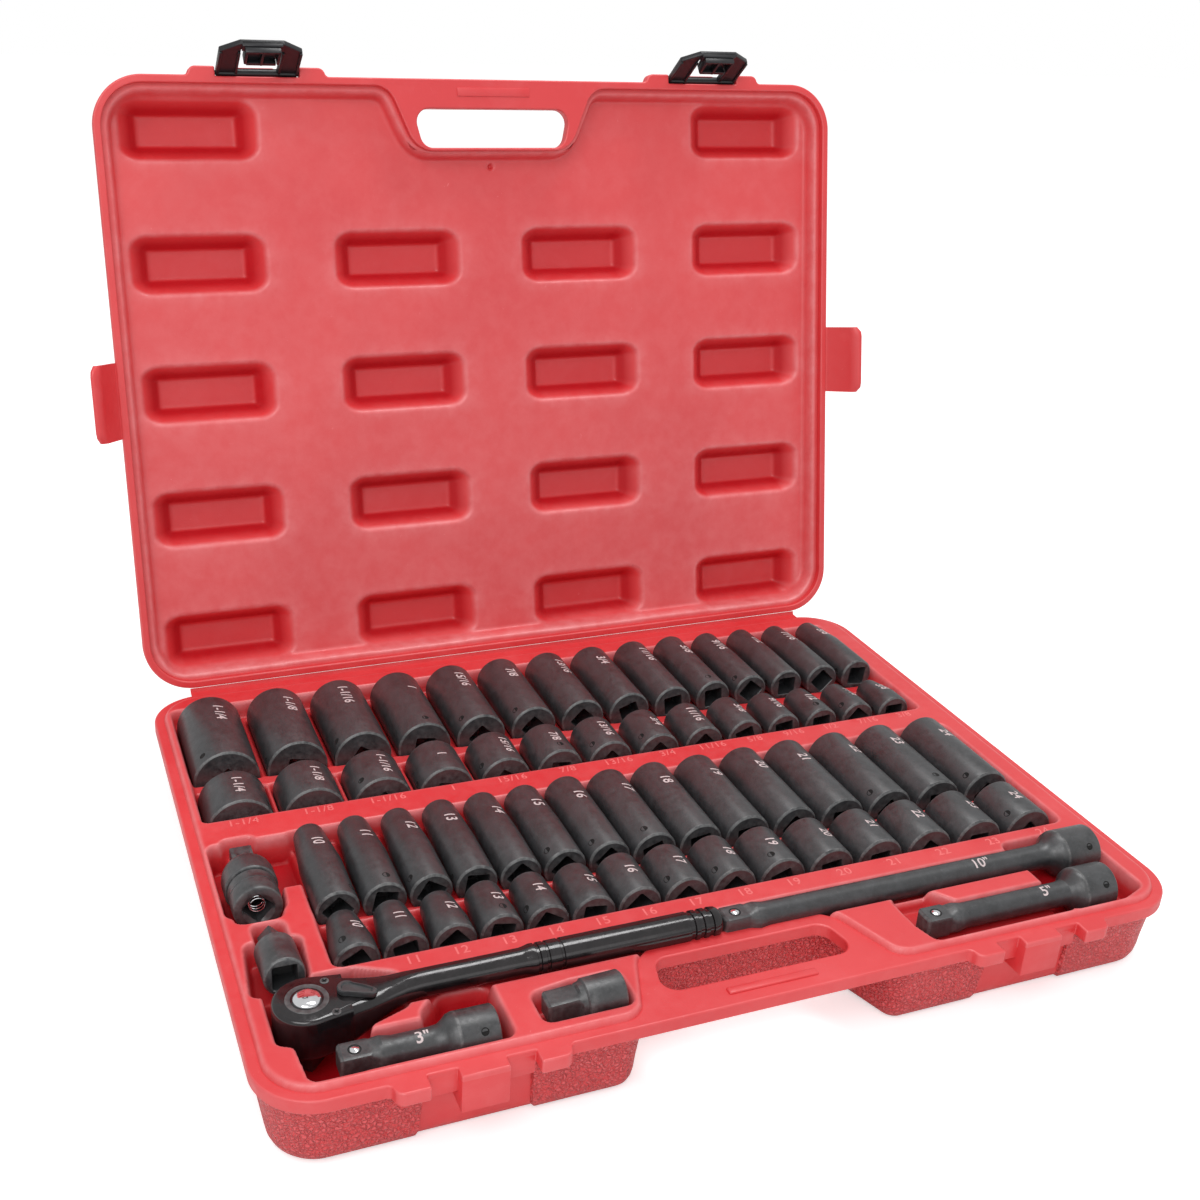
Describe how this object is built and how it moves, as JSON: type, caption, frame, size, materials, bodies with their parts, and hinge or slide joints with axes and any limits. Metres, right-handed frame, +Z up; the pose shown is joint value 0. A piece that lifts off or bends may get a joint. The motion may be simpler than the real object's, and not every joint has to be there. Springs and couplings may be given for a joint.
{
  "type": "socket wrench set",
  "caption": "Hinged blow-moulded carrying case, open, with a ratchet, extension bars, adapters, a universal joint and rows of deep and shallow impact sockets in fitted seats.",
  "frame": {"origin": "middle of the case's underside, as it lies on the ground", "axes": "+X along the hinge to the right of someone in front of the case, -Y the front with the handle and latches, +Z up"},
  "size_m": [0.574, 0.5367, 0.4706],
  "materials": {
    "red_plastic": "satin polyethylene, leather grain outside",
    "black_plastic": "semi-gloss",
    "impact_steel": "black phosphate with worn edges",
    "polished_black": "gloss black",
    "chrome": "bright"
  },
  "bodies": {
    "case": {"case_base": "red_plastic"},
    "lid": {"case_lid": "red_plastic"},
    "latch_left": {"latch_left": "black_plastic"},
    "latch_right": {"latch_right": "black_plastic"},
    "ratchet": {"ratchet_body": "polished_black", "ratchet_cover": "polished_black"},
    "ratchet_drive": {"ratchet_drive": "impact_steel"},
    "ratchet_button": {"ratchet_button": "chrome"},
    "ratchet_lever": {"ratchet_lever": "polished_black"},
    "ujoint": {"ujoint_drive": "impact_steel"},
    "ujoint_sleeve": {"ujoint_collar": "impact_steel", "ujoint_sleeve": "impact_steel"},
    "extension_10in": {"extension_10in": "impact_steel"},
    "extension_5in": {"extension_5in": "impact_steel"},
    "extension_3in": {"extension_3in": "impact_steel"},
    "adapter_front": {"adapter_front": "impact_steel"},
    "adapter_left": {"adapter_left": "impact_steel"},
    "deep_1_1-4in": {"deep_1_1-4in": "impact_steel"},
    "deep_1_1-8in": {"deep_1_1-8in": "impact_steel"},
    "deep_1_1-16in": {"deep_1_1-16in": "impact_steel"},
    "deep_1in": {"deep_1in": "impact_steel"},
    "deep_15-16in": {"deep_15-16in": "impact_steel"},
    "deep_7-8in": {"deep_7-8in": "impact_steel"},
    "deep_13-16in": {"deep_13-16in": "impact_steel"},
    "deep_3-4in": {"deep_3-4in": "impact_steel"},
    "deep_11-16in": {"deep_11-16in": "impact_steel"},
    "deep_5-8in": {"deep_5-8in": "impact_steel"},
    "deep_9-16in": {"deep_9-16in": "impact_steel"},
    "deep_1-2in": {"deep_1-2in": "impact_steel"},
    "deep_7-16in": {"deep_7-16in": "impact_steel"},
    "deep_3-8in": {"deep_3-8in": "impact_steel"},
    "shallow_1_1-4in": {"shallow_1_1-4in": "impact_steel"},
    "shallow_1_1-8in": {"shallow_1_1-8in": "impact_steel"},
    "shallow_1_1-16in": {"shallow_1_1-16in": "impact_steel"},
    "shallow_1in": {"shallow_1in": "impact_steel"},
    "shallow_15-16in": {"shallow_15-16in": "impact_steel"},
    "shallow_7-8in": {"shallow_7-8in": "impact_steel"},
    "shallow_13-16in": {"shallow_13-16in": "impact_steel"},
    "shallow_3-4in": {"shallow_3-4in": "impact_steel"},
    "shallow_11-16in": {"shallow_11-16in": "impact_steel"},
    "shallow_5-8in": {"shallow_5-8in": "impact_steel"},
    "shallow_9-16in": {"shallow_9-16in": "impact_steel"},
    "shallow_1-2in": {"shallow_1-2in": "impact_steel"},
    "shallow_7-16in": {"shallow_7-16in": "impact_steel"},
    "shallow_3-8in": {"shallow_3-8in": "impact_steel"},
    "deep_10mm": {"deep_10mm": "impact_steel"},
    "deep_11mm": {"deep_11mm": "impact_steel"},
    "deep_12mm": {"deep_12mm": "impact_steel"},
    "deep_13mm": {"deep_13mm": "impact_steel"},
    "deep_14mm": {"deep_14mm": "impact_steel"},
    "deep_15mm": {"deep_15mm": "impact_steel"},
    "deep_16mm": {"deep_16mm": "impact_steel"},
    "deep_17mm": {"deep_17mm": "impact_steel"},
    "deep_18mm": {"deep_18mm": "impact_steel"},
    "deep_19mm": {"deep_19mm": "impact_steel"},
    "deep_20mm": {"deep_20mm": "impact_steel"},
    "deep_21mm": {"deep_21mm": "impact_steel"},
    "deep_22mm": {"deep_22mm": "impact_steel"},
    "deep_23mm": {"deep_23mm": "impact_steel"},
    "deep_24mm": {"deep_24mm": "impact_steel"}
  },
  "joints": [
    {"name": "lid_hinge", "type": "hinge", "parent": "case", "child": "lid", "pos_m": [0, 0.2068, 0.0491], "axis": [-1, 0, 0], "range_deg": [-102.7, 0]},
    {"name": "latch_left_hinge", "type": "hinge", "parent": "lid", "child": "latch_left", "pos_m": [-0.1625, 0.29999, 0.44807], "axis": [-1, 0, 0], "range_deg": [-26, 110]},
    {"name": "latch_right_hinge", "type": "hinge", "parent": "lid", "child": "latch_right", "pos_m": [0.1625, 0.29999, 0.44807], "axis": [-1, 0, 0], "range_deg": [-26, 110]},
    {"name": "ratchet_lift", "type": "slide", "parent": "case", "child": "ratchet", "axis": [0, 0, 1], "range_m": [0, 0.08]},
    {"name": "ratchet_drive_turn", "type": "hinge", "parent": "ratchet", "child": "ratchet_drive", "pos_m": [-0.234, -0.1405, 0.052], "axis": [0, 0, 1], "continuous": true},
    {"name": "ratchet_button_press", "type": "slide", "parent": "ratchet_drive", "child": "ratchet_button", "axis": [0, 0, -1], "range_m": [0, 0.003], "stiffness_N_per_m": 800, "springref_m": -0.001},
    {"name": "ratchet_lever_throw", "type": "hinge", "parent": "ratchet", "child": "ratchet_lever", "pos_m": [-0.2145, -0.1405, 0.057], "axis": [0, 0, 1], "range_deg": [0, 60]},
    {"name": "ujoint_lift", "type": "slide", "parent": "case", "child": "ujoint", "axis": [0, 0, 1], "range_m": [0, 0.08]},
    {"name": "ujoint_swivel", "type": "hinge", "parent": "ujoint", "child": "ujoint_sleeve", "pos_m": [-0.2415, -0.022, 0.0472], "axis": [-1, 0, 0], "range_deg": [0, 15]},
    {"name": "extension_10in_lift", "type": "slide", "parent": "case", "child": "extension_10in", "axis": [0, 0, 1], "range_m": [0, 0.08]},
    {"name": "extension_5in_lift", "type": "slide", "parent": "case", "child": "extension_5in", "axis": [0, 0, 1], "range_m": [0, 0.08]},
    {"name": "extension_3in_lift", "type": "slide", "parent": "case", "child": "extension_3in", "axis": [0, 0, 1], "range_m": [0, 0.08]},
    {"name": "adapter_front_lift", "type": "slide", "parent": "case", "child": "adapter_front", "axis": [0, 0, 1], "range_m": [0, 0.08]},
    {"name": "adapter_left_lift", "type": "slide", "parent": "case", "child": "adapter_left", "axis": [0, 0, 1], "range_m": [0, 0.08]},
    {"name": "deep_1_1-4in_lift", "type": "slide", "parent": "case", "child": "deep_1_1-4in", "axis": [0, 0, 1], "range_m": [0, 0.08]},
    {"name": "deep_1_1-8in_lift", "type": "slide", "parent": "case", "child": "deep_1_1-8in", "axis": [0, 0, 1], "range_m": [0, 0.08]},
    {"name": "deep_1_1-16in_lift", "type": "slide", "parent": "case", "child": "deep_1_1-16in", "axis": [0, 0, 1], "range_m": [0, 0.08]},
    {"name": "deep_1in_lift", "type": "slide", "parent": "case", "child": "deep_1in", "axis": [0, 0, 1], "range_m": [0, 0.08]},
    {"name": "deep_15-16in_lift", "type": "slide", "parent": "case", "child": "deep_15-16in", "axis": [0, 0, 1], "range_m": [0, 0.08]},
    {"name": "deep_7-8in_lift", "type": "slide", "parent": "case", "child": "deep_7-8in", "axis": [0, 0, 1], "range_m": [0, 0.08]},
    {"name": "deep_13-16in_lift", "type": "slide", "parent": "case", "child": "deep_13-16in", "axis": [0, 0, 1], "range_m": [0, 0.08]},
    {"name": "deep_3-4in_lift", "type": "slide", "parent": "case", "child": "deep_3-4in", "axis": [0, 0, 1], "range_m": [0, 0.08]},
    {"name": "deep_11-16in_lift", "type": "slide", "parent": "case", "child": "deep_11-16in", "axis": [0, 0, 1], "range_m": [0, 0.08]},
    {"name": "deep_5-8in_lift", "type": "slide", "parent": "case", "child": "deep_5-8in", "axis": [0, 0, 1], "range_m": [0, 0.08]},
    {"name": "deep_9-16in_lift", "type": "slide", "parent": "case", "child": "deep_9-16in", "axis": [0, 0, 1], "range_m": [0, 0.08]},
    {"name": "deep_1-2in_lift", "type": "slide", "parent": "case", "child": "deep_1-2in", "axis": [0, 0, 1], "range_m": [0, 0.08]},
    {"name": "deep_7-16in_lift", "type": "slide", "parent": "case", "child": "deep_7-16in", "axis": [0, 0, 1], "range_m": [0, 0.08]},
    {"name": "deep_3-8in_lift", "type": "slide", "parent": "case", "child": "deep_3-8in", "axis": [0, 0, 1], "range_m": [0, 0.08]},
    {"name": "shallow_1_1-4in_lift", "type": "slide", "parent": "case", "child": "shallow_1_1-4in", "axis": [0, 0, 1], "range_m": [0, 0.08]},
    {"name": "shallow_1_1-8in_lift", "type": "slide", "parent": "case", "child": "shallow_1_1-8in", "axis": [0, 0, 1], "range_m": [0, 0.08]},
    {"name": "shallow_1_1-16in_lift", "type": "slide", "parent": "case", "child": "shallow_1_1-16in", "axis": [0, 0, 1], "range_m": [0, 0.08]},
    {"name": "shallow_1in_lift", "type": "slide", "parent": "case", "child": "shallow_1in", "axis": [0, 0, 1], "range_m": [0, 0.08]},
    {"name": "shallow_15-16in_lift", "type": "slide", "parent": "case", "child": "shallow_15-16in", "axis": [0, 0, 1], "range_m": [0, 0.08]},
    {"name": "shallow_7-8in_lift", "type": "slide", "parent": "case", "child": "shallow_7-8in", "axis": [0, 0, 1], "range_m": [0, 0.08]},
    {"name": "shallow_13-16in_lift", "type": "slide", "parent": "case", "child": "shallow_13-16in", "axis": [0, 0, 1], "range_m": [0, 0.08]},
    {"name": "shallow_3-4in_lift", "type": "slide", "parent": "case", "child": "shallow_3-4in", "axis": [0, 0, 1], "range_m": [0, 0.08]},
    {"name": "shallow_11-16in_lift", "type": "slide", "parent": "case", "child": "shallow_11-16in", "axis": [0, 0, 1], "range_m": [0, 0.08]},
    {"name": "shallow_5-8in_lift", "type": "slide", "parent": "case", "child": "shallow_5-8in", "axis": [0, 0, 1], "range_m": [0, 0.08]},
    {"name": "shallow_9-16in_lift", "type": "slide", "parent": "case", "child": "shallow_9-16in", "axis": [0, 0, 1], "range_m": [0, 0.08]},
    {"name": "shallow_1-2in_lift", "type": "slide", "parent": "case", "child": "shallow_1-2in", "axis": [0, 0, 1], "range_m": [0, 0.08]},
    {"name": "shallow_7-16in_lift", "type": "slide", "parent": "case", "child": "shallow_7-16in", "axis": [0, 0, 1], "range_m": [0, 0.08]},
    {"name": "shallow_3-8in_lift", "type": "slide", "parent": "case", "child": "shallow_3-8in", "axis": [0, 0, 1], "range_m": [0, 0.08]},
    {"name": "deep_10mm_lift", "type": "slide", "parent": "case", "child": "deep_10mm", "axis": [0, 0, 1], "range_m": [0, 0.08]},
    {"name": "deep_11mm_lift", "type": "slide", "parent": "case", "child": "deep_11mm", "axis": [0, 0, 1], "range_m": [0, 0.08]},
    {"name": "deep_12mm_lift", "type": "slide", "parent": "case", "child": "deep_12mm", "axis": [0, 0, 1], "range_m": [0, 0.08]},
    {"name": "deep_13mm_lift", "type": "slide", "parent": "case", "child": "deep_13mm", "axis": [0, 0, 1], "range_m": [0, 0.08]},
    {"name": "deep_14mm_lift", "type": "slide", "parent": "case", "child": "deep_14mm", "axis": [0, 0, 1], "range_m": [0, 0.08]},
    {"name": "deep_15mm_lift", "type": "slide", "parent": "case", "child": "deep_15mm", "axis": [0, 0, 1], "range_m": [0, 0.08]},
    {"name": "deep_16mm_lift", "type": "slide", "parent": "case", "child": "deep_16mm", "axis": [0, 0, 1], "range_m": [0, 0.08]},
    {"name": "deep_17mm_lift", "type": "slide", "parent": "case", "child": "deep_17mm", "axis": [0, 0, 1], "range_m": [0, 0.08]},
    {"name": "deep_18mm_lift", "type": "slide", "parent": "case", "child": "deep_18mm", "axis": [0, 0, 1], "range_m": [0, 0.08]},
    {"name": "deep_19mm_lift", "type": "slide", "parent": "case", "child": "deep_19mm", "axis": [0, 0, 1], "range_m": [0, 0.08]},
    {"name": "deep_20mm_lift", "type": "slide", "parent": "case", "child": "deep_20mm", "axis": [0, 0, 1], "range_m": [0, 0.08]},
    {"name": "deep_21mm_lift", "type": "slide", "parent": "case", "child": "deep_21mm", "axis": [0, 0, 1], "range_m": [0, 0.08]},
    {"name": "deep_22mm_lift", "type": "slide", "parent": "case", "child": "deep_22mm", "axis": [0, 0, 1], "range_m": [0, 0.08]},
    {"name": "deep_23mm_lift", "type": "slide", "parent": "case", "child": "deep_23mm", "axis": [0, 0, 1], "range_m": [0, 0.08]},
    {"name": "deep_24mm_lift", "type": "slide", "parent": "case", "child": "deep_24mm", "axis": [0, 0, 1], "range_m": [0, 0.08]}
  ]
}
